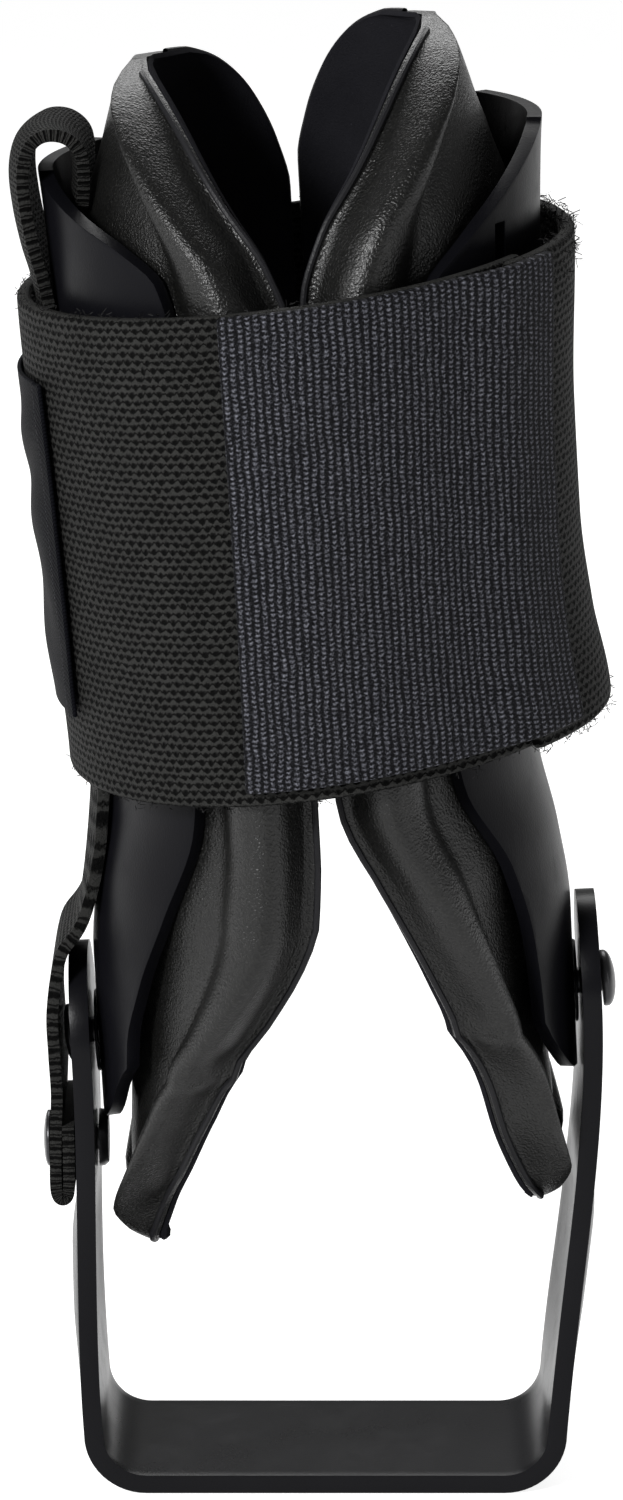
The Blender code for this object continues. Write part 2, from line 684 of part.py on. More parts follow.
def main():
    clear_scene()
    parts = collection(PARTS)
    cutters = collection(CUTTERS)
    plastic = material("stirrup_plastic", (0.018, 0.018, 0.020), 0.32)
    shell_plastic = material("shell_plastic", (0.030, 0.030, 0.033), 0.45)
    skin = material("pad_skin", (0.012, 0.012, 0.013), 0.42)
    felt = material("pad_lining", (0.010, 0.010, 0.011), 0.95)
    webbing = material("webbing", (0.012, 0.012, 0.012), 0.85)
    tape = material("hook_tape", (0.030, 0.030, 0.036), 0.80)
    satin = material("label_satin", (0.010, 0.011, 0.014), 0.50)
    metal = material("rivet_metal", (0.080, 0.080, 0.085), 0.25, 0.9)

    cuff = bpy.data.objects.new("cuff_frame", None)
    parts.objects.link(cuff)
    cuff.location = (HINGE_SHIFT, 0.0, HINGE_HEIGHT)
    cuff.rotation_euler = (0.0, -CUFF_LEAN, 0.0)

    stirrup = make_stirrup(parts, plastic)
    shells = {}
    for side in (-1, 1):
        shells[side] = make_shell(side, parts, shell_plastic, cuff)
        make_pad(side, parts, skin, cuff)
        make_lining(side, parts, felt, cuff)

    rises = steps_between(-1, 1, 4)
    turns = steps_between(*STRAP_TURNS, 52)
    make_band("wide_strap", turns, rises, [0.0] * len(turns), STRAP_WALL, parts, webbing, cuff)
    step_up = STRAP_WALL / 2 + TAPE_WALL / 2 + SOFT_GAP
    turns = steps_between(*TAPE_TURNS, 16)
    settling = [step_up * (1 - smoothstep(*TAPE_SETTLE, turn)) for turn in turns]
    make_band("hook_tape", turns, rises, settling, TAPE_WALL, parts, tape, cuff)
    label_share = LABEL_HEIGHT / STRAP_HEIGHT
    label_rises = steps_between(-label_share, label_share, 3)
    label_out = STRAP_WALL / 2 + LABEL_WALL / 2 + FIT
    turns = steps_between(*LABEL_TURNS, 10)
    make_band("side_label", turns, label_rises, [label_out] * len(turns), LABEL_WALL, parts, satin, cuff)

    make_slot(shells[1], cutters, shell_plastic, cuff)
    keeper = make_keeper(parts, webbing, cuff)
    for side in (-1, 1):
        make_hinge_rivet(side, parts, metal, cutters, stirrup, shells[side], cuff)
    make_strap_rivet(parts, metal, cutters, stirrup, keeper)
    bpy.context.view_layer.update()


main()
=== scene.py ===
import math
import random

import bmesh
import bpy
from mathutils import Matrix, Vector


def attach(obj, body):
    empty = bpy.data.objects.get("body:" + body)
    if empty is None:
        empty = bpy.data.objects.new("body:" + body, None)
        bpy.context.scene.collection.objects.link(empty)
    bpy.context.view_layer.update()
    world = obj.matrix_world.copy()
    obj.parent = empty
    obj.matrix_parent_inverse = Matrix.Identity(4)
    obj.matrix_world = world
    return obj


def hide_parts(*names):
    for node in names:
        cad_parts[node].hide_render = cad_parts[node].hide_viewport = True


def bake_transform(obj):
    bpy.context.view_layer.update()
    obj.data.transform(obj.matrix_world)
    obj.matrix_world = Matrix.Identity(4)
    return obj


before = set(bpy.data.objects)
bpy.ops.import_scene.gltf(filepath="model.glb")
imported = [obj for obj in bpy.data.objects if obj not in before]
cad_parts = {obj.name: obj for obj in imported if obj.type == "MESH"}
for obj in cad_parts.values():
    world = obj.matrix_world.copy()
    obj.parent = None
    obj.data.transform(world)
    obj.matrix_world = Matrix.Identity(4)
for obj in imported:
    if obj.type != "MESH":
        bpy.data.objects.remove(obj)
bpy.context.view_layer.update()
print("frame loaded")

# Camera and light
cameraSize = {
    "target": Vector((-0.0024, 0.0, 0.1269)),
    "distance": 0.969,  # 2% further back than the photograph, so that the plate is whole
    "elevation": math.radians(15.0),
    "lens": 138.2,
    "sensor": 36.0,  # on the long side
    "clip": (0.05, 20.0),
}
lampSize = {  # spot, target, size, power
    "key_above": ((-0.58, -0.92, 0.70), (0.0, 0.0, 0.15), (0.20, 0.26), 22.0),
    "left_side": ((-1.0, -0.30, 0.45), (0.0, 0.0, 0.12), (0.12, 0.6), 3.5),
    "right_side": ((0.95, -0.55, 0.25), (0.0, 0.0, 0.10), (0.08, 0.6), 1.6),
    "back_above": ((0.0, 0.9, 0.9), (0.0, 0.0, 0.15), (1.0, 0.5), 8.0),
}


def lookAt(thing, spot, target):
    thing.location = spot
    thing.rotation_mode = "QUATERNION"
    thing.rotation_quaternion = (target - spot).to_track_quat("-Z", "Y")


def makeCamera():
    camera = bpy.data.objects.new("camera", bpy.data.cameras.new("camera"))
    bpy.context.scene.collection.objects.link(camera)
    camera.data.lens = cameraSize["lens"]
    camera.data.sensor_width = cameraSize["sensor"]
    rise = cameraSize["elevation"]
    back = Vector((0.0, -math.cos(rise), math.sin(rise))) * cameraSize["distance"]
    lookAt(camera, cameraSize["target"] + back, cameraSize["target"])
    camera.data.clip_start, camera.data.clip_end = cameraSize["clip"]
    bpy.context.scene.camera = camera


def makeLamp(name, spot, target, size, power):
    lamp = bpy.data.objects.new(name, bpy.data.lights.new(name, "AREA"))
    bpy.context.scene.collection.objects.link(lamp)
    lamp.data.shape = "RECTANGLE"
    lamp.data.size = size[0]
    lamp.data.size_y = size[1]
    lamp.data.energy = power
    lookAt(lamp, Vector(spot), Vector(target))


makeCamera()
for lampName, lampPlace in lampSize.items():
    makeLamp(lampName, *lampPlace)
bpy.context.scene.view_settings.view_transform = "Standard"
print("camera and lights made")


# Shader maths
class Wire:  # one shader socket, so that sums on it read as Python
    def __init__(self, tree, socket):
        self.tree = tree
        self.socket = socket

    def node(self, kind, settings=None, inputs=None, out=0):
        made = self.tree.nodes.new(kind)
        for key, value in (settings or {}).items():
            setattr(made, key, value)
        for key, value in (inputs or {}).items():
            if isinstance(value, Wire):
                self.tree.links.new(value.socket, made.inputs[key])
            else:
                made.inputs[key].default_value = value
        return Wire(self.tree, made.outputs[out])

    def maths(self, operation, *values):
        return self.node("ShaderNodeMath", {"operation": operation}, dict(enumerate(values)))

    def __add__(self, other):
        return self.maths("ADD", self, other)

    def __radd__(self, other):
        return self.maths("ADD", other, self)

    def __sub__(self, other):
        return self.maths("SUBTRACT", self, other)

    def __rsub__(self, other):
        return self.maths("SUBTRACT", other, self)

    def __mul__(self, other):
        return self.maths("MULTIPLY", self, other)

    def __rmul__(self, other):
        return self.maths("MULTIPLY", other, self)

    def fract(self):
        return self.maths("FRACT", self)

    def floor(self):
        return self.maths("FLOOR", self)

    def size(self):
        return self.maths("ABSOLUTE", self)

    def root(self):
        return self.maths("SQRT", self)

    def wave(self):  # 0 to 1 and back for each unit
        return self.maths("SINE", self * math.tau) * 0.5 + 0.5

    def soft(self, low, high):
        inputs = {"Value": self, "From Min": low, "From Max": high}
        return self.node("ShaderNodeMapRange", {"interpolation_type": "SMOOTHSTEP"}, inputs)

    def blend(self, low, high):  # a colour from low to high by this value
        inputs = {"Factor": self, "A": (*low, 1.0), "B": (*high, 1.0)}
        return self.node("ShaderNodeMix", {"data_type": "RGBA"}, inputs, out=2)


def startMaterial(name, roughness, **steady):
    material = bpy.data.materials.new(name)
    material.use_nodes = True
    shader = material.node_tree.nodes["Principled BSDF"]
    shader.inputs["Roughness"].default_value = roughness
    for key, value in steady.items():
        shader.inputs[key].default_value = value
    return material, shader, Wire(material.node_tree, None)


def feed(shader, **wires):
    tree = shader.id_data
    for key, wire in wires.items():
        tree.links.new(wire.socket, shader.inputs[key.replace("_", " ")])


def bump(height, distance, strength=1.0, onto=None):
    inputs = {"Height": height, "Distance": distance, "Strength": strength}
    if onto:
        inputs["Normal"] = onto
    return height.node("ShaderNodeBump", None, inputs)


def noise(place, scale, detail=2.0, rough=0.5):
    inputs = {"Vector": place, "Scale": scale, "Detail": detail, "Roughness": rough}
    return place.node("ShaderNodeTexNoise", None, inputs)


def plasticMaterial(name, dark, light, roughness, grain, shine):
    material, shader, wire = startMaterial(name, roughness, **{"Specular IOR Level": shine})
    place = wire.node("ShaderNodeTexCoord", out="Object")
    broad = noise(place, 45.0, 3.0)
    fine = noise(place, 2600.0, 2.0)
    scuffs = noise(place, 160.0, 4.0, 0.7).soft(0.45, 0.75)
    feed(shader, Base_Color=broad.blend(dark, light))
    feed(shader, Roughness=roughness - 0.05 + broad * 0.06 + fine * 0.05 + scuffs * 0.06)
    feed(shader, Normal=bump(fine, grain))
    return material


def leatherMaterial():
    material, shader, wire = startMaterial("pad_skin", 0.30, **{"Specular IOR Level": 0.27})
    place = wire.node("ShaderNodeTexCoord", out="Object")
    sway = noise(place, 260.0, 3.0)
    speckle = noise(place, 2300.0, 2.0, 0.6)
    inputs = {"Vector": place, "Scale": 1900.0}
    cells = place.node("ShaderNodeTexVoronoi", {"feature": "F1"}, inputs, out="Distance")
    grain = cells.soft(0.7, 0.15) * 0.5 + speckle.soft(0.3, 0.7) * 0.5
    # The grain colours the base partly as its own tone and partly as painted highlight: its lighter speckles
    # stand for the glossy leather's glints.
    feed(shader, Base_Color=grain.blend((0.0010, 0.0010, 0.0010), (0.006, 0.006, 0.0055)))
    feed(shader, Roughness=0.35 - grain * 0.12 + sway * 0.08)
    feed(shader, Normal=bump(sway, 0.0003, 0.5, bump(grain, 0.00009)))
    return material


def feltMaterial():
    material, shader, wire = startMaterial("pad_lining", 0.95, **{"Specular IOR Level": 0.02})
    place = wire.node("ShaderNodeTexCoord", out="Object")
    fuzz = noise(place, 3200.0, 3.0, 0.7)
    patches = noise(place, 90.0, 2.0)
    lint = noise(place, 1500.0, 1.0).soft(0.74, 0.82)
    shade = fuzz * 0.5 + patches * 0.3 + lint * 0.6
    feed(shader, Base_Color=shade.blend((0.002, 0.002, 0.003), (0.019, 0.019, 0.022)))
    feed(shader, Normal=bump(fuzz, 0.00018))
    return material


# Cells along and across a strap's flat pattern, with a slight sway
def wovenPlace(wire, length, width, cell):
    uv = wire.node("ShaderNodeUVMap", {"uv_map": "UVMap"})
    parts = uv.node("ShaderNodeSeparateXYZ", None, {"Vector": uv})
    place = wire.node("ShaderNodeTexCoord", out="Object")
    across = Wire(parts.tree, parts.socket.node.outputs[0]) * (length / cell[0])
    up = Wire(parts.tree, parts.socket.node.outputs[1]) * (width / cell[1])
    across = across + noise(place, 240.0) * 0.7 + noise(place, 1100.0) * 0.35
    up = up + noise(place, 280.0) * 0.5 + noise(place, 1300.0) * 0.5
    return across, up, place


webbingLook = {
    "cell": (0.0019, 0.00128),  # along and across the strap
    # dark is painted shade in the knit's holes, light is a painted highlight on its raised threads
    "dark": (0.0006, 0.0006, 0.0006),
    "light": (0.021, 0.021, 0.020),
    "keeperPattern": (0.025, 0.24),
}


def webbingMaterial(name, length, width):
    material, shader, wire = startMaterial(name, 0.7, **{"Specular IOR Level": 0.05})
    across, up, place = wovenPlace(wire, length, width, webbingLook["cell"])
    left = (across + up.floor() * 0.5).fract() - 0.5
    rise = up.fract() - 0.5
    hole = (left * left + rise * rise * 0.7).root().soft(0.08, 0.40)
    vee = (rise - (left.size() - 0.3) * 1.1).size().soft(0.0, 0.20)
    fuzz = noise(place, 3400.0, 3.0, 0.65)
    height = hole * (0.3 + vee * 0.7) + (fuzz - 0.5) * 0.8
    patches = noise(place, 130.0, 3.0)
    # The colour follows the knit's height: painted shade in the holes and painted highlight on the raised
    # threads; the patches are random tone.
    shade = height * height * (0.55 + patches * 0.6)
    feed(shader, Base_Color=shade.blend(webbingLook["dark"], webbingLook["light"]))
    feed(shader, Roughness=0.8 - height * 0.2)
    feed(shader, Normal=bump(height, 0.0006))
    return material


hookLook = {
    "cell": (0.0013, 0.00083),  # along and across the tape
    # dark is painted shade between the ribs, light is a painted bluish highlight on the raised hooks
    "dark": (0.0015, 0.0015, 0.002),
    "light": (0.160, 0.163, 0.190),
}


def hookMaterial(length, width):
    material, shader, wire = startMaterial("hook_tape", 0.62, **{"Specular IOR Level": 0.06})
    across, up, place = wovenPlace(wire, length, width, hookLook["cell"])
    ribs = 1.0 - (across.fract() - 0.5).size() * 2.0
    beads = (up + across.floor() * 0.5 + ribs * 0.3).wave()
    fuzz = noise(place, 3000.0, 3.0, 0.7)
    height = ribs.soft(0.05, 0.8) * (0.2 + beads * 0.8) * 0.7 + (fuzz - 0.5) * 2.0 + 0.04
    # The colour follows the height: painted shade between the ribs and painted highlight on the raised
    # hooks; the fuzz is random tone.
    feed(shader, Base_Color=(height * height).blend(hookLook["dark"], hookLook["light"]))
    feed(shader, Normal=bump(height, 0.0004))
    return material


satinLook = {
    "pattern": (0.042, 0.056),
    "cell": (0.0006, 0.0006),
    "stitchAt": 5.5,  # cells in from the hem
}


def satinMaterial():
    material, shader, wire = startMaterial("label_satin", 0.5, **{"Specular IOR Level": 0.015})
    across, up, place = wovenPlace(wire, *satinLook["pattern"], satinLook["cell"])
    twill = (across + up).wave()
    patches = noise(place, 160.0, 3.0)
    zigzag = ((up * 0.25).fract() - 0.5).size() * 3.0
    stitch = 1.0 - (across - satinLook["stitchAt"] - zigzag).size().soft(0.35, 0.8)
    shade = twill * 0.35 + patches * 0.35 + stitch * 0.8
    feed(shader, Base_Color=shade.blend((0.0008, 0.0008, 0.0012), (0.006, 0.0065, 0.0085)))
    feed(shader, Normal=bump(twill + patches + stitch * 2.0, 0.00015))
    return material


def metalMaterial():
    material, shader, wire = startMaterial("rivet_metal", 0.28, Metallic=0.6)
    place = wire.node("ShaderNodeTexCoord", out="Object")
    wear = noise(place, 700.0, 3.0)
    feed(shader, Base_Color=wear.blend((0.012, 0.012, 0.013), (0.035, 0.035, 0.038)))
    feed(shader, Roughness=0.24 + wear * 0.18)
    feed(shader, Normal=bump(wear, 0.00005))
    return material


# The cuff's frame, and the curves that all pieces share
cuff = {
    "origin": Vector((0.0018, 0.0, 0.082)),
    "lean": math.radians(3.0),
    "span": 0.0862,  # between the middles of the arms' walls
    "stagger": 0.0023,
    "gap": 0.0009,
    "softGap": 0.0004,
}
cuffMatrix = Matrix.Translation(cuff["origin"]) @ Matrix.Rotation(-cuff["lean"], 4, "Y")
cuffUp = Vector((-math.sin(cuff["lean"]), 0.0, math.cos(cuff["lean"])))


def smoothstep(low, high, value):  # falls instead where low is above high
    t = min(1.0, max(0.0, (value - low) / (high - low)))
    return t * t * (3 - 2 * t)


def curveThrough(rows, key, column):  # smooth between a table's rows, without overshoot
    keys = [row[0] for row in rows]
    values = [row[column] for row in rows]
    if key <= keys[0]:
        return values[0]
    if key >= keys[-1]:
        return values[-1]
    i = max(j for j in range(len(rows) - 1) if keys[j] <= key)
    slopes = []
    for k in (i, i + 1):
        before = (values[k] - values[k - 1]) / (keys[k] - keys[k - 1]) if k else 0.0
        after = (values[k + 1] - values[k]) / (keys[k + 1] - keys[k]) if k < len(rows) - 1 else 0.0
        slopes.append(2 * before * after / (before + after) if before * after > 0 else 0.0)
    span = keys[i + 1] - keys[i]
    t = (key - keys[i]) / span
    start = values[i] * (1 + 2 * t) * (1 - t) ** 2 + slopes[0] * span * t * (1 - t) ** 2
    end = values[i + 1] * t * t * (3 - 2 * t) + slopes[1] * span * t * t * (t - 1)
    return start + end


def hingePoint(side):
    return Vector((side * cuff["span"] / 2, 0.0, side * cuff["stagger"]))


def shapedGrid(columns, rows, place):  # a grid with each point put by place(u, v), both from 0 to 1
    bm = bmesh.new()
    bm.loops.layers.uv.new("UVMap")
    bmesh.ops.create_grid(bm, x_segments=columns, y_segments=rows, size=0.5, calc_uvs=True)
    for vert in bm.verts:
        vert.co = place(vert.co.x + 0.5, vert.co.y + 0.5)
    return bm


def keepPiece(bm, name, material, sharp=40.0, matrix=None):
    if matrix:
        bmesh.ops.transform(bm, matrix=matrix, verts=bm.verts)
    mesh = bpy.data.meshes.new(name)
    bm.to_mesh(mesh)
    bm.free()
    mesh.materials.append(material)
    mesh.shade_smooth()
    mesh.set_sharp_from_angle(angle=math.radians(sharp))
    piece = bpy.data.objects.new(name, mesh)
    bpy.context.scene.collection.objects.link(piece)
    return piece


def wallIt(piece, wall, offset=0.0, edge=0.0, segments=3):
    solid = piece.modifiers.new("wall", "SOLIDIFY")
    solid.thickness = wall
    solid.offset = offset
    solid.use_even_offset = True
    if edge:
        rim = piece.modifiers.new("edge", "BEVEL")
        rim.width = edge
        rim.segments = segments
        rim.limit_method = "ANGLE"
        rim.angle_limit = math.radians(50)
        rim.harden_normals = False


# Stirrup
stirrupSize = {
    "wall": 0.0032,
    "width": 0.0792,
    "depth": 0.035,
    "fillet": 0.009,
    "armDepth": 0.030,
    "bow": 0.0014,
    "head": 0.0155,
    "lean": math.radians(4.0),
    "edge": 0.0012,
}


def armPlaces(side):  # from the plate's middle to the top of the head: spot, way out, half depth, bow
    s = stirrupSize
    half, floor = s["width"] / 2, s["wall"] / 2
    flat = half - s["fillet"]
    places = []
    for share in (0.0, 0.15, 0.3, 0.45, 0.6, 0.75, 0.9, 0.98):
        places.append((Vector((side * flat * share, 0, floor)), Vector((0, 0, -1)), s["depth"] / 2, 0.0))
    for step in range(15):
        turn = math.radians(90 * step / 14)
        x = side * (flat + s["fillet"] * math.sin(turn))
        z = floor + s["fillet"] * (1 - math.cos(turn))
        out = Vector((side * math.sin(turn), 0, -math.cos(turn)))
        places.append((Vector((x, 0, z)), out, s["depth"] / 2, 0.0))
    start = places[-1][0].copy()
    hinge = cuffMatrix @ hingePoint(side)
    rise = (hinge - start).length
    lean = Vector((side * math.sin(s["lean"]), 0, math.cos(s["lean"])))
    for step in range(1, 41):
        t = step / 40
        spot = (start * (2 * t ** 3 - 3 * t ** 2 + 1) + hinge * (3 * t ** 2 - 2 * t ** 3)
                + lean * rise * (t ** 3 - 2 * t ** 2 + t) + cuffUp * rise * (t ** 3 - t ** 2))
        pull = (start * (6 * t * t - 6 * t) + hinge * (6 * t - 6 * t * t)
                + lean * rise * (3 * t * t - 4 * t + 1) + cuffUp * rise * (3 * t * t - 2 * t))
        heading = pull.normalized()
        out = Vector((side * heading.z, 0, -side * heading.x))
        depth = s["depth"] + (s["armDepth"] - s["depth"]) * smoothstep(0.0, 0.45, t)
        depth += (2 * s["head"] - s["armDepth"]) * smoothstep(0.75, 1.0, t)
        bow = s["bow"] * smoothstep(0.0, 0.3, t) * (1 - smoothstep(0.45, 0.65, t))
        places.append((spot, out, depth / 2, bow))
    out = Vector((side * cuffUp.z, 0, -side * cuffUp.x))
    for step in range(1, 19):
        turn = math.radians(87 * step / 18)
        spot = hinge + cuffUp * s["head"] * math.sin(turn)
        places.append((spot, out, s["head"] * math.cos(turn), 0.0))
    return places


def makeStirrup(material):
    places = list(reversed(armPlaces(-1))) + armPlaces(1)[1:]

    def place(u, v):
        spot, out, halfDepth, bow = places[round(v * (len(places) - 1))]
        across = 2 * u - 1
        return spot + out * bow * (1 - across * across) + Vector((0, halfDepth * across, 0))

    bm = shapedGrid(16, len(places) - 1, place)
    piece = keepPiece(bm, "stirrup_body", material)
    wallIt(piece, stirrupSize["wall"], edge=stirrupSize["edge"])
    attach(piece, "stirrup")
    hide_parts("stirrup")


# Shells
shellSize = {
    "wall": 0.0024,
    "depth": 0.088,
    "top": 0.1487,
    "end": 0.014,
    "waist": 0.0044,
    "edge": 0.0009,
    "slotWidth": 0.003,
    "slotAbove": 0.005,  # past the strap's edges
    "slotBelow": 0.0015,
    "slotTurn": math.radians(34.0),
    "grid": (44, 90),
    "rows": [  # share of the height, of the waist, front edge left and right, rear edge
        (-1.000, 0.0, 3.0, 3.0, 3.0),
        (-0.900, 0.0, 11.0, 11.0, 11.0),
        (-0.650, 0.0, 18.5, 19.0, 18.5),
        (-0.270, 0.0, 24.5, 27.0, 24.5),
        (0.030, 0.0, 31.0, 31.5, 31.0),
        (0.100, 0.0, 37.5, 34.0, 37.5),
        (0.190, 0.35, 46.0, 38.5, 46.0),
        (0.300, 1.0, 54.5, 50.5, 54.5),
        (0.450, 0.85, 58.5, 57.0, 58.5),
        (0.620, 0.5, 60.0, 60.0, 60.0),
        (0.760, 0.22, 60.5, 60.5, 60.5),
        (0.850, 0.1, 60.0, 58.0, 60.5),
        (0.905, 0.02, 57.0, 45.0, 60.0),
        (0.940, -0.04, 46.0, 33.0, 58.0),
        (0.965, -0.09, 31.0, 23.0, 54.0),
        (0.985, -0.14, 18.0, 14.0, 47.0),
        (1.000, -0.18, 8.0, 7.0, 37.0),
    ],
}


def shellHalfWidth(height):
    seat = cuff["span"] / 2 - stirrupSize["wall"] / 2 - cuff["gap"] - shellSize["wall"] / 2
    share = height / (shellSize["top"] if height > 0 else shellSize["end"])
    return seat - shellSize["waist"] * curveThrough(shellSize["rows"], share, 1)


def shellShare(v):  # more rows where the outline turns fast
    low = 0.10
    if v < low:
        return -1.0 + v / low
    t = (v - low) / (1 - low)
    return 1 - (1 - t) ** 1.35


def makeShell(side, material):
    s = shellSize

    def place(u, v):
        share = shellShare(v)
        height = share * (s["top"] if share > 0 else s["end"])
        front = curveThrough(s["rows"], share, 3 if side > 0 else 2)
        rear = curveThrough(s["rows"], share, 4)
        turn = math.radians(-front + (front + rear) * u)
        width = shellHalfWidth(height)
        return Vector((side * width * math.cos(turn), s["depth"] / 2 * math.sin(turn),
                       side * cuff["stagger"] + height))

    bm = shapedGrid(*s["grid"], place)
    if side < 0:
        bmesh.ops.reverse_faces(bm, faces=bm.faces)
    else:
        cutSlot(bm)
    name = "right_shell_body" if side > 0 else "left_shell_body"
    piece = keepPiece(bm, name, material, matrix=cuffMatrix)
    wallIt(piece, s["wall"], edge=s["edge"])
    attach(piece, "cuff")
    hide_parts("right_shell" if side > 0 else "left_shell")


def cutSlot(bm):
    s = shellSize
    middle = strapSize["middle"]
    width = shellHalfWidth(middle)
    x, y = width * math.cos(s["slotTurn"]), -s["depth"] / 2 * math.sin(s["slotTurn"])
    out = Vector((x / width ** 2, y / (s["depth"] / 2) ** 2, 0)).normalized()
    tangent = Vector((-out.y, out.x, 0))
    centre = Vector((x, y, middle + (s["slotAbove"] - s["slotBelow"]) / 2 + strapSize["slope"] * x))
    length = strapSize["height"] + s["slotAbove"] + s["slotBelow"]
    limits = ((tangent, s["slotWidth"] / 2), (Vector((0, 0, 1)), length / 2))
    for way, reach in limits:
        for end in (-1, 1):
            everything = bm.verts[:] + bm.edges[:] + bm.faces[:]
            spot = centre + way * reach * end
            bmesh.ops.bisect_plane(bm, geom=everything, plane_co=spot, plane_no=way, dist=1e-7)
    inside = []
    for face in bm.faces:
        away = face.calc_center_median() - centre
        if away.length < length and all(abs(away.dot(way)) < reach for way, reach in limits):
            inside.append(face)
    bmesh.ops.delete(bm, geom=inside, context="FACES")


# Pads and linings
padSize = {
    "top": 0.1654,
    "end": 0.0375,
    "wall": 0.005,
    "bulge": 0.0055,
    "flange": 0.0010,
    "seamGap": 0.0024,
    "lining": 0.0009,
    "liningGap": 0.00025,
    "liningGrid": (72, 120),
    "welt": 0.00055,
    "groove": 0.00045,
    "grooves": (0.88, 0.72, 0.56),  # across the toes
    "grooveWidth": 0.016,
    "crease": 0.735,
    "creaseWidth": 0.010,
    # Share of the height, draw-in of width and depth, front edge left and right, rear edge, fullness
    "rows": [
        (-1.000, 0.110, 0.290, 3.0, 3.0, 3.0, 0.0),
        (-0.985, 0.088, 0.270, 7.0, 8.0, 7.5, 0.03),
        (-0.955, 0.060, 0.245, 10.5, 13.0, 12.5, 0.12),
        (-0.880, 0.020, 0.210, 14.5, 19.5, 19.0, 0.5),
        (-0.740, -0.010, 0.165, 20.5, 25.5, 26.5, 0.92),
        (-0.520, -0.005, 0.110, 33.0, 33.0, 35.5, 1.0),
        (-0.260, 0.012, 0.080, 44.5, 38.5, 44.0, 1.0),
        (0.006, 0.030, 0.040, 57.0, 50.0, 54.0, 1.0),
        (0.060, 0.030, 0.020, 69.0, 57.0, 64.0, 1.0),
        (0.130, 0.020, 0.000, 82.0, 67.5, 75.0, 1.0),
        (0.171, 0.000, 0.000, 86.5, 74.0, 81.0, 1.0),
        (0.270, 0.000, 0.000, 88.0, 85.0, 88.0, 1.0),
        (0.760, 0.000, 0.000, 88.0, 88.0, 88.0, 1.0),
        (0.825, 0.050, 0.015, 82.0, 82.0, 88.0, 1.0),
        (0.880, 0.140, 0.050, 69.0, 69.0, 84.0, 1.0),
        (0.930, 0.215, 0.110, 54.0, 54.0, 76.0, 1.0),
        (0.965, 0.250, 0.170, 40.0, 40.0, 65.0, 0.85),
        (0.988, 0.268, 0.225, 24.0, 24.0, 48.0, 0.45),
        (1.000, 0.285, 0.270, 3.0, 3.0, 4.0, 0.0),
    ],
    "columns": [  # place across as a share of the edge angle, bulge, wall
        (-1.00, 0.00, 0.0),
        (-0.955, 0.02, 0.03),
        (-0.935, 0.45, 0.35),
        (-0.905, 0.88, 0.8),
        (-0.86, 1.00, 1.0),
        (-0.805, 0.88, 1.0),
        (-0.76, 0.58, 1.0),
        (-0.725, 0.22, 1.0),
        (-0.700, 0.00, 1.0),
        (0.700, 0.00, 1.0),
        (0.725, 0.22, 1.0),
        (0.76, 0.58, 1.0),
        (0.805, 0.88, 1.0),
        (0.86, 1.00, 1.0),
        (0.905, 0.88, 0.8),
        (0.935, 0.45, 0.35),
        (0.955, 0.02, 0.03),
        (1.00, 0.00, 0.0),
    ],
}
hingeWay = (hingePoint(1) - hingePoint(-1)).normalized()
rivetSize = {
    "head": 0.0048,
    "dome": 0.0024,
    "lowDome": 0.0012,  # under the keeper strap
    "shank": 0.0022,
    "foot": 0.0036,
    "footWall": 0.0010,
    "strapDrop": 0.0192,
    "disc": 0.0050,
    "spacer": 0.0070,
    "spacerWall": 0.0004,
    "spacerOff": 0.00005,  # from the shell
    "steps": 48,
    "fit": 0.0003,
}
rivetSize["tiltRoom"] = rivetSize["head"] * abs(hingeWay.z)


def padOval(share):
    p, s = padSize, shellSize
    height = share * (p["top"] if share > 0 else p["end"])
    seatGap = s["wall"] / 2 + cuff["softGap"]
    width = shellHalfWidth(height) - seatGap
    if share < 0.3:
        most = (cuff["span"] / 2 - stirrupSize["wall"] / 2 - cuff["gap"] - s["wall"] - rivetSize["footWall"]
                - rivetSize["fit"] - cuff["softGap"] - 2 * rivetSize["tiltRoom"])
        width = min(width, most)
    depth = s["depth"] / 2 - seatGap
    return width * (1 - curveThrough(p["rows"], share, 1)), depth * (1 - curveThrough(p["rows"], share, 2))


def padPoint(side, share, across, skin):  # skin 1 is the outer face, 0 the inner; across from -1 to 1
    p = padSize
    full = curveThrough(p["rows"], share, 6)
    front = curveThrough(p["rows"], share, 4 if side > 0 else 3)
    rear = curveThrough(p["rows"], share, 5)
    width, depth = padOval(share)
    height = side * cuff["stagger"] + share * (p["top"] if share > 0 else p["end"])
    turn = math.radians(across * (rear if across > 0 else front))
    low = smoothstep(-0.5, -0.8, share)  # only the toes narrow to a tip
    back = p["wall"] * (1 - low * 0.92 * (1 - full))
    x = max((width - back) * math.cos(turn), p["seamGap"] / 2)
    y = (depth - back) * math.sin(turn)
    bulge = curveThrough(p["columns"], across, 1)
    wall = curveThrough(p["columns"], across, 2)
    thick = p["flange"] + (p["wall"] - p["flange"]) * wall * (1 - (0.65 + 0.25 * low) * (1 - full))
    folds = sum(math.exp(-((abs(across) - at) / p["grooveWidth"]) ** 2) for at in p["grooves"])
    toe = smoothstep(0.55, 0.85, -share) * (1 - smoothstep(0.97, 1.0, -share))
    seam = math.exp(-((abs(across) - p["crease"]) / p["creaseWidth"]) ** 2)
    sunk = p["groove"] * (folds * toe + seam * (1 - toe))
    push = (thick + p["bulge"] * bulge * full - sunk) * skin
    normal = Vector((math.cos(turn) / width, math.sin(turn) / depth, 0)).normalized()
    reach = max(x + normal.x * push, p["seamGap"] / 2)
    return Vector((side * reach, y + normal.y * push, height)), normal


def padShare(v):  # rows bunched at both rounded ends
    low = 0.20
    if v < low:
        return -math.sin(math.pi / 2 * (1 - v / low))
    t = (v - low) / (1 - low)
    return math.sin(math.pi / 2 * t) * 0.35 + t * 0.65


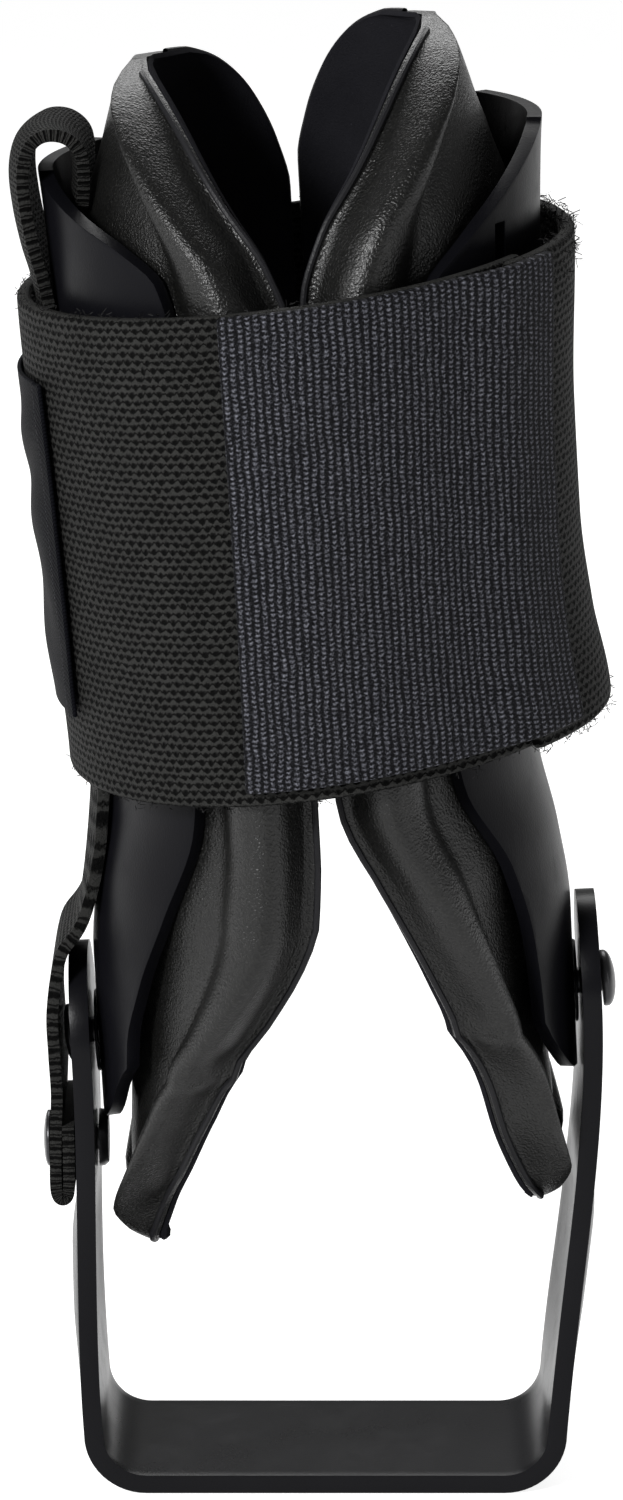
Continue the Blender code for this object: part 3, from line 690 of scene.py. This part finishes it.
def makePad(side, material):
    outer, inner = 110, 60  # columns

    def place(u, v):
        share = padShare(v)
        step = round(u * (outer + inner + 2))
        if step <= outer:
            spot, _ = padPoint(side, share, 2 * step / outer - 1, 1.0)
        elif step == outer + 1:
            spot, _ = padPoint(side, share, 1.0, 0.0)
        elif step <= outer + 1 + inner:
            spot, _ = padPoint(side, share, 1 - 2 * (step - outer - 1) / inner, 0.0)
        else:
            spot, _ = padPoint(side, share, -1.0, 1.0)
        return spot

    bm = shapedGrid(outer + inner + 2, 120, place)
    bmesh.ops.remove_doubles(bm, verts=bm.verts, dist=0.00001)
    ends = [edge for edge in bm.edges if edge.is_boundary]
    bmesh.ops.holes_fill(bm, edges=ends)
    bmesh.ops.recalc_face_normals(bm, faces=bm.faces)
    name = "right_pad_body" if side > 0 else "left_pad_body"
    piece = keepPiece(bm, name, material, sharp=60.0, matrix=cuffMatrix)
    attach(piece, "cuff")
    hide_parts("right_pad" if side > 0 else "left_pad")


def makeLining(side, material):
    columns, rows = padSize["liningGrid"]
    inset = padSize["liningGap"] + padSize["lining"] / 2

    def place(u, v):
        share = padShare(0.004 + 0.992 * v)
        spot, normal = padPoint(side, share, 2 * u - 1, 0.0)
        return spot - Vector((side * normal.x, normal.y, 0)) * inset

    def widthAt(v):
        spots = [place(step / 36, v) for step in range(37)]
        return sum((a - b).length for a, b in zip(spots, spots[1:]))

    bm = shapedGrid(columns, rows, place)
    area = sum(face.calc_area() for face in bm.faces)
    middle = [place(0.5, step / rows) for step in range(rows + 1)]
    length = sum((a - b).length for a, b in zip(middle, middle[1:]))
    width = max(widthAt(level / 10) for level in range(1, 10))
    if side < 0:
        bmesh.ops.reverse_faces(bm, faces=bm.faces)
    name = "right_lining_face" if side > 0 else "left_lining_face"
    piece = keepPiece(bm, name, material, matrix=cuffMatrix)
    wallIt(piece, padSize["lining"], edge=0.0002, segments=2)
    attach(piece, "cuff")
    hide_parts("right_lining" if side > 0 else "left_lining")


def makeWelt(side, material):  # the narrow cord sewn round a pad's rim
    radius = padSize["welt"]

    def rim(v):
        share = math.sin(math.pi * (2 * abs(2 * v - 1) - 1) / 2) * 0.992
        spot, normal = padPoint(side, share, -0.999 if v < 0.5 else 0.999, 1.0)
        return spot + Vector((side * normal.x, normal.y, 0)) * radius * 0.3

    def place(u, v):
        middle = rim(v)
        along = (rim(min(1.0, v + 0.002)) - rim(max(0.0, v - 0.002))).normalized()
        outward = Vector((side, 0.0, 0.0))
        first = along.cross(outward).normalized()
        second = along.cross(first).normalized()
        turn = math.tau * u
        return middle + (first * math.cos(turn) + second * math.sin(turn)) * radius

    bm = shapedGrid(8, 300, place)
    bmesh.ops.remove_doubles(bm, verts=bm.verts, dist=0.000001)
    bmesh.ops.recalc_face_normals(bm, faces=bm.faces)
    name = "right_pad_welt" if side > 0 else "left_pad_welt"
    piece = keepPiece(bm, name, material, matrix=cuffMatrix)
    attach(piece, "cuff")


# Straps
strapSize = {
    "wall": 0.0024,
    "height": 0.080,
    "middle": 0.090,
    "slope": 0.085,
    "depth": 0.099,
    "widths": [  # rise, distance outside the arms' middles on the left and on the right
        (-1.0, -0.0019, 0.0036),
        (-0.6, -0.0011, 0.0011),
        (-0.2, -0.0004, -0.0004),
        (0.3, 0.0006, -0.0006),
        (1.0, 0.0019, 0.0006),
    ],
    "turns": (-54, 314),
    "overlap": (255, 302),
    "tapeWall": 0.002,
    "tapeTurns": (304, 375),
    "tapeSettle": (314, 330),
    "labelWall": 0.0008,
    "labelHeight": 0.056,
    "labelTurns": (64, 112),
}


def strapPlace(turn, rise, layer):  # turn in degrees from the front towards the left, rise -1 to 1
    s = strapSize
    angle = math.radians(turn)
    left = curveThrough(s["widths"], rise, 1)
    right = curveThrough(s["widths"], rise, 2)
    width = cuff["span"] / 2 + (left + right) / 2 + (left - right) / 2 * math.sin(angle)
    x = -(width + layer) * math.sin(angle)
    y = -(s["depth"] / 2 + layer) * math.cos(angle)
    return Vector((x, y, s["middle"] + s["slope"] * x + s["height"] / 2 * rise))


def strapLayer(turn):
    step = strapSize["wall"] / 2 + strapSize["tapeWall"] / 2 + cuff["softGap"]
    return step * smoothstep(*strapSize["overlap"], turn)


def bandLength(turns, layer):
    steps = [turns[0] + (turns[1] - turns[0]) * i / 200 for i in range(201)]
    spots = [strapPlace(turn, 0.0, strapLayer(turn) + layer) for turn in steps]
    return sum((b - a).length for a, b in zip(spots, spots[1:]))


def makeBand(name, turns, rises, layer, wall, grid, material, relief=None):
    def place(u, v):
        turn = turns[0] + (turns[1] - turns[0]) * u
        rise = rises[0] + (rises[1] - rises[0]) * v
        extra = relief(u, v) if relief else 0.0
        return strapPlace(turn, rise, strapLayer(turn) + layer(turn) + extra)

    bm = shapedGrid(*grid, place)
    bmesh.ops.reverse_faces(bm, faces=bm.faces)
    piece = keepPiece(bm, name, material, matrix=cuffMatrix)
    wallIt(piece, wall, edge=wall * 0.42, segments=3)
    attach(piece, "cuff")
    return piece


fuzzSize = {
    "rng": random.Random(7),
    "halfWidth": 0.00007,
    "patches": [  # fibres, turns, rises, reach outwards, longest fibre
        (700, (-54, 250), (-1.02, -0.98), 0.0012, 0.0016),
        (500, (-10, 220), (0.98, 1.02), 0.0012, 0.0014),
        (1400, (228, 300), (0.84, 1.02), 0.0014, 0.0019),
        (500, (252, 314), (-1.02, -0.97), 0.0016, 0.0016),
    ],
}


def makeFuzz(material):  # loose fibres along the strap's cut edges
    pick = fuzzSize["rng"]
    bm = bmesh.new()
    for count, turns, rises, reach, longest in fuzzSize["patches"]:
        for _ in range(count):
            turn = pick.uniform(*turns)
            root = strapPlace(turn, pick.uniform(*rises), strapLayer(turn) + pick.uniform(-reach, reach))
            way = Vector((pick.gauss(0, 1), pick.gauss(0, 1), pick.gauss(0, 1))).normalized()
            bend = Vector((pick.gauss(0, 1), pick.gauss(0, 1), pick.gauss(0, 1))).normalized() * 0.5
            length = longest * pick.uniform(0.4, 1.0)
            across = way.cross(bend).normalized() * fuzzSize["halfWidth"]
            middle = root + way * length * 0.5 + bend * length * 0.2
            tip = root + way * length * 0.8 + bend * length * 0.8
            spots = [root, middle, tip]
            rails = [(bm.verts.new(spot - across), bm.verts.new(spot + across)) for spot in spots]
            for low, high in zip(rails, rails[1:]):
                bm.faces.new((low[0], low[1], high[1], high[0]))
    piece = keepPiece(bm, "strap_fuzz", material, matrix=cuffMatrix)
    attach(piece, "cuff")


labelSize = {
    "hem": 0.00045,
    "wrinkle": 0.0007,
}


def labelRelief(u, v):  # folded hems and soft wrinkles, outwards only
    hem = max(smoothstep(0.10, 0.07, u) if u < 0.5 else smoothstep(0.90, 0.93, u), 0.0)
    waves = 0.5 + 0.5 * math.sin(v * 17 + math.sin(u * 6 + v * 5) * 1.6)
    inside = 4 * u * (1 - u) * smoothstep(0.0, 0.2, v) * smoothstep(1.0, 0.8, v)
    return labelSize["hem"] * hem + labelSize["wrinkle"] * waves * inside


# Keeper strap
keeperSize = {
    "width": 0.025,
    "wall": 0.0020,
    "hinge": [(-0.40, 1.60), (0.52, 1.10), (0.95, 0.50), (1.0, 0.0), (1.0, -0.45)],  # shares, past the hinge
    "bend": (-0.010, 0.016),  # where the bending starts and ends, from the hinge
    # Millimetres below the hinge and outside the arm's middle
    "fold": [(13.4, 4.95), (19.2, 5.15), (24.0, 5.15), (25.7, 4.75), (26.2, 4.05), (25.7, 3.3),
             (24.0, 2.95), (19.2, 2.9), (13.0, 2.9)],
    "route": [  # outside the shell's middle as a share of the wall, height as a share of the shell's top
        (-2.20, 0.965),
        (-2.65, 0.995),
        (-2.50, 1.025),
        (-1.20, 1.042),
        (0.60, 1.044),
        (1.90, 1.030),
        (2.50, 1.000),
        (2.60, 0.960),
        (2.30, 0.920),
        (1.80, 0.885),
        (1.50, 0.840),
        (1.45, 0.700),
        (1.45, 0.520),
        (1.45, 0.400),
        (1.45, 0.320),
    ],
}


def keeperClear():
    r = rivetSize
    overHead = r["tiltRoom"] + r["fit"] + r["lowDome"] + r["fit"]
    return stirrupSize["wall"] / 2 + overHead + keeperSize["wall"] / 2


def keeperPoints():
    points = []
    for outside, share in keeperSize["route"]:
        height = share * shellSize["top"]
        x = -shellHalfWidth(height) - outside * keeperSize["wall"]
        points.append(Vector((x, 0.0, height - cuff["stagger"])))
    hinge = hingePoint(-1)
    clear = keeperClear()
    head = stirrupSize["head"]
    for out, rise in keeperSize["hinge"]:
        points.append(Vector((hinge.x - clear * out, 0.0, hinge.z + head * rise)))
    back = cuffMatrix.inverted()
    for drop, away in keeperSize["fold"]:
        spot, out = armBeside(drop / 1000)
        points.append(back @ (spot + out * away / 1000))
    return points


def armBeside(drop):  # the middle of the left arm's wall at a drop below the hinge, and the way outwards
    level = (cuffMatrix @ hingePoint(-1)).z - drop
    places = [place for place in armPlaces(-1) if place[0].z > stirrupSize["fillet"]]
    upper = next(i for i, place in enumerate(places) if place[0].z >= level)
    low, high = places[upper - 1], places[upper]
    share = (level - low[0].z) / (high[0].z - low[0].z)
    return low[0].lerp(high[0], share), low[1].lerp(high[1], share).normalized()


def smoothRoute(points, count):
    places = []
    for i in range(len(points) - 1):
        before, after = points[max(i - 1, 0)], points[min(i + 2, len(points) - 1)]
        start, end = points[i], points[i + 1]
        for step in range(count):
            t = step / count
            places.append(0.5 * ((2 * start) + (end - before) * t
                                 + (2 * before - 5 * start + 4 * end - after) * t * t
                                 + (3 * start - before - 3 * end + after) * t ** 3))
    places.append(points[-1].copy())
    return places


def makeKeeper(material):
    route = smoothRoute(keeperPoints(), 8)
    hinge = hingePoint(-1)
    half = keeperSize["width"] / 2

    def place(u, v):
        spot = route[round(v * (len(route) - 1))]
        y = half * (2 * u - 1)
        wrap = smoothstep(stirrupSize["head"] * 1.1, stirrupSize["head"] * 2.4, spot.z - hinge.z)
        sag = abs(spot.x) * (1 - math.sqrt(1 - (2 * y / shellSize["depth"]) ** 2))
        return Vector((spot.x + sag * wrap, y, spot.z))

    bm = shapedGrid(16, len(route) - 1, place)
    piece = keepPiece(bm, "keeper_strap", material, matrix=cuffMatrix)
    wallIt(piece, keeperSize["wall"], edge=0.0006, segments=2)
    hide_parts("keeper_strap_upper", "keeper_strap_lower")
    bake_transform(piece)
    length = sum((b - a).length for a, b in zip(route, route[1:]))


# Rivets
def turnedPiece(profile):
    bm = bmesh.new()
    points = [bm.verts.new((radius, 0.0, along)) for radius, along in profile]
    edges = [bm.edges.new(pair) for pair in zip(points, points[1:])]
    bmesh.ops.spin(bm, geom=points + edges, cent=(0, 0, 0), axis=(0, 0, 1), angle=math.tau,
                   steps=rivetSize["steps"], use_merge=True)
    bmesh.ops.remove_doubles(bm, verts=bm.verts, dist=0.00001)
    bmesh.ops.recalc_face_normals(bm, faces=bm.faces)
    return bm


def domeProfile(radius, rise, base):
    points = [(0.0, base + rise)]
    for step in range(1, 10):
        turn = math.radians(90 * (1 - step / 9))
        points.append((radius * math.cos(turn), base + rise * (0.3 + 0.7 * math.sin(turn))))
    points += [(radius, base + rise * 0.12), (radius * 0.96, base)]
    return points


def makeHingeRivet(side, material):
    r, s = rivetSize, stirrupSize
    armOut = s["wall"] / 2 + r["fit"] + r["tiltRoom"]
    shellIn = -s["wall"] / 2 - cuff["gap"] - shellSize["wall"] - r["fit"] - r["tiltRoom"]
    profile = domeProfile(r["head"], r["dome"] if side > 0 else r["lowDome"], armOut)
    profile += [(r["shank"], armOut), (r["shank"], shellIn), (r["foot"], shellIn),
                (r["foot"], shellIn - r["footWall"]), (0.0, shellIn - r["footWall"])]
    name = "right_hinge_pin" if side > 0 else "left_hinge_pin"
    bm = turnedPiece(profile)
    turn = (hingeWay * side).to_track_quat("Z", "Y").to_matrix().to_4x4()
    matrix = cuffMatrix @ Matrix.Translation(hingePoint(side)) @ turn
    piece = keepPiece(bm, name, material, sharp=35.0, matrix=matrix)
    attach(piece, "cuff")
    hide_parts("right_hinge_rivet" if side > 0 else "left_hinge_rivet")


def makeHingeSpacer(side, material):  # a thin moulded ring between shell and arm
    r = rivetSize
    inner = -stirrupSize["wall"] / 2 - cuff["gap"] + r["spacerOff"]
    hole = r["shank"] + r["fit"]
    profile = [(hole, inner), (r["spacer"], inner), (r["spacer"], inner + r["spacerWall"] * 0.6),
               (r["spacer"] * 0.97, inner + r["spacerWall"]), (hole, inner + r["spacerWall"]), (hole, inner)]
    name = "right_hinge_spacer" if side > 0 else "left_hinge_spacer"
    turn = Vector((side, 0, 0)).to_track_quat("Z", "Y").to_matrix().to_4x4()
    matrix = cuffMatrix @ Matrix.Translation(hingePoint(side)) @ turn
    piece = keepPiece(turnedPiece(profile), name, material, sharp=35.0, matrix=matrix)
    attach(piece, "cuff")


def makeStrapRivet(material):
    r = rivetSize
    armIn = -stirrupSize["wall"] / 2 - r["fit"]
    strapOut = (keeperSize["fold"][1][1] / 1000) + keeperSize["wall"] / 2 + r["fit"]
    profile = domeProfile(r["head"], r["lowDome"], strapOut)
    discIn = armIn - r["footWall"] * 1.6
    profile += [(r["shank"], strapOut), (r["shank"], armIn), (r["disc"], armIn),
                (r["disc"] * 0.97, armIn - r["footWall"] * 0.9), (r["disc"] * 0.85, discIn), (0.0, discIn)]
    bm = turnedPiece(profile)
    spot, out = armBeside(r["strapDrop"])
    matrix = Matrix.Translation(spot) @ out.to_track_quat("Z", "Y").to_matrix().to_4x4()
    piece = keepPiece(bm, "strap_pin", material, sharp=35.0, matrix=matrix)
    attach(piece, "stirrup")
    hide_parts("strap_rivet")


# Making
plasticLook = {  # dark, light, roughness, depth of the grain, shine
    "stirrup_plastic": ((0.002, 0.002, 0.0025), (0.004, 0.004, 0.005), 0.28, 0.00002, 0.08),
    "shell_plastic": ((0.0016, 0.0016, 0.0022), (0.0034, 0.0034, 0.0045), 0.34, 0.00003, 0.045),
    "rim_welt": ((0.006, 0.006, 0.007), (0.014, 0.014, 0.015), 0.36, 0.00006, 0.08),
    "loose_fibre": ((0.002, 0.002, 0.002), (0.008, 0.008, 0.008), 0.6, 0.00001, 0.08),
}
stirrupPlastic = plasticMaterial("stirrup_plastic", *plasticLook["stirrup_plastic"])
shellPlastic = plasticMaterial("shell_plastic", *plasticLook["shell_plastic"])
leather = leatherMaterial()
welt = plasticMaterial("rim_welt", *plasticLook["rim_welt"])
felt = feltMaterial()
satin = satinMaterial()
metal = metalMaterial()
makeStirrup(stirrupPlastic)
for side in (-1, 1):
    makeShell(side, shellPlastic)
    makePad(side, leather)
    makeLining(side, felt)
    makeWelt(side, welt)
    makeHingeRivet(side, metal)
    makeHingeSpacer(side, shellPlastic)
makeStrapRivet(metal)
print("stirrup, shells, pads and rivets made")

strapLength = bandLength(strapSize["turns"], 0.0)
webbing = webbingMaterial("webbing", strapLength, strapSize["height"])
strap = makeBand("wide_strap_band", strapSize["turns"], (-1.0, 1.0), lambda turn: 0.0,
                 strapSize["wall"], (320, 60), webbing)
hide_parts("wide_strap")

stepUp = strapSize["wall"] / 2 + strapSize["tapeWall"] / 2 + cuff["softGap"]
tapeLength = bandLength(strapSize["tapeTurns"], 0.0)
tape = makeBand("hook_tape_end", strapSize["tapeTurns"], (-0.93, 1.0),
                lambda turn: stepUp * (1 - smoothstep(*strapSize["tapeSettle"], turn)),
                strapSize["tapeWall"], (90, 60), hookMaterial(tapeLength, strapSize["height"]))
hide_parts("hook_tape")

labelOut = strapSize["wall"] / 2 + strapSize["labelWall"] / 2 + rivetSize["fit"]
labelLength = bandLength(strapSize["labelTurns"], labelOut)
label = makeBand("side_label_patch", strapSize["labelTurns"], (-0.7, 0.7),
                 lambda turn: labelOut, strapSize["labelWall"], (90, 110), satin, labelRelief)
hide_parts("side_label")

makeKeeper(webbingMaterial("keeper_webbing", *webbingLook["keeperPattern"]))
makeFuzz(plasticMaterial("loose_fibre", *plasticLook["loose_fibre"]))
print("straps made")


# Floor and background
floorSize = {
    "half": 6.0,
    "drop": 0.0002,
    "grey": 0.45,
    "glow": 0.86,
    "world": 0.22,
}


def makeFloor():
    bm = bmesh.new()
    bmesh.ops.create_grid(bm, x_segments=1, y_segments=1, size=floorSize["half"])
    mesh = bpy.data.meshes.new("floor")
    bm.to_mesh(mesh)
    bm.free()
    floor = bpy.data.objects.new("floor", mesh)
    bpy.context.scene.collection.objects.link(floor)
    white = (1.0, 1.0, 1.0, 1.0)
    grey = (floorSize["grey"],) * 3 + (1.0,)
    steady = {"Base Color": grey, "Emission Color": white, "Emission Strength": floorSize["glow"]}
    material = startMaterial("pale_floor", 0.9, **steady)[0]
    mesh.materials.append(material)
    floor.location = (0.0, 0.0, -floorSize["drop"])
    world = bpy.data.worlds.new("studio")
    world.use_nodes = True
    sky = world.node_tree.nodes["Background"]
    sky.inputs["Color"].default_value = white
    sky.inputs["Strength"].default_value = floorSize["world"]
    bpy.context.scene.world = world


makeFloor()
print("scene finished")
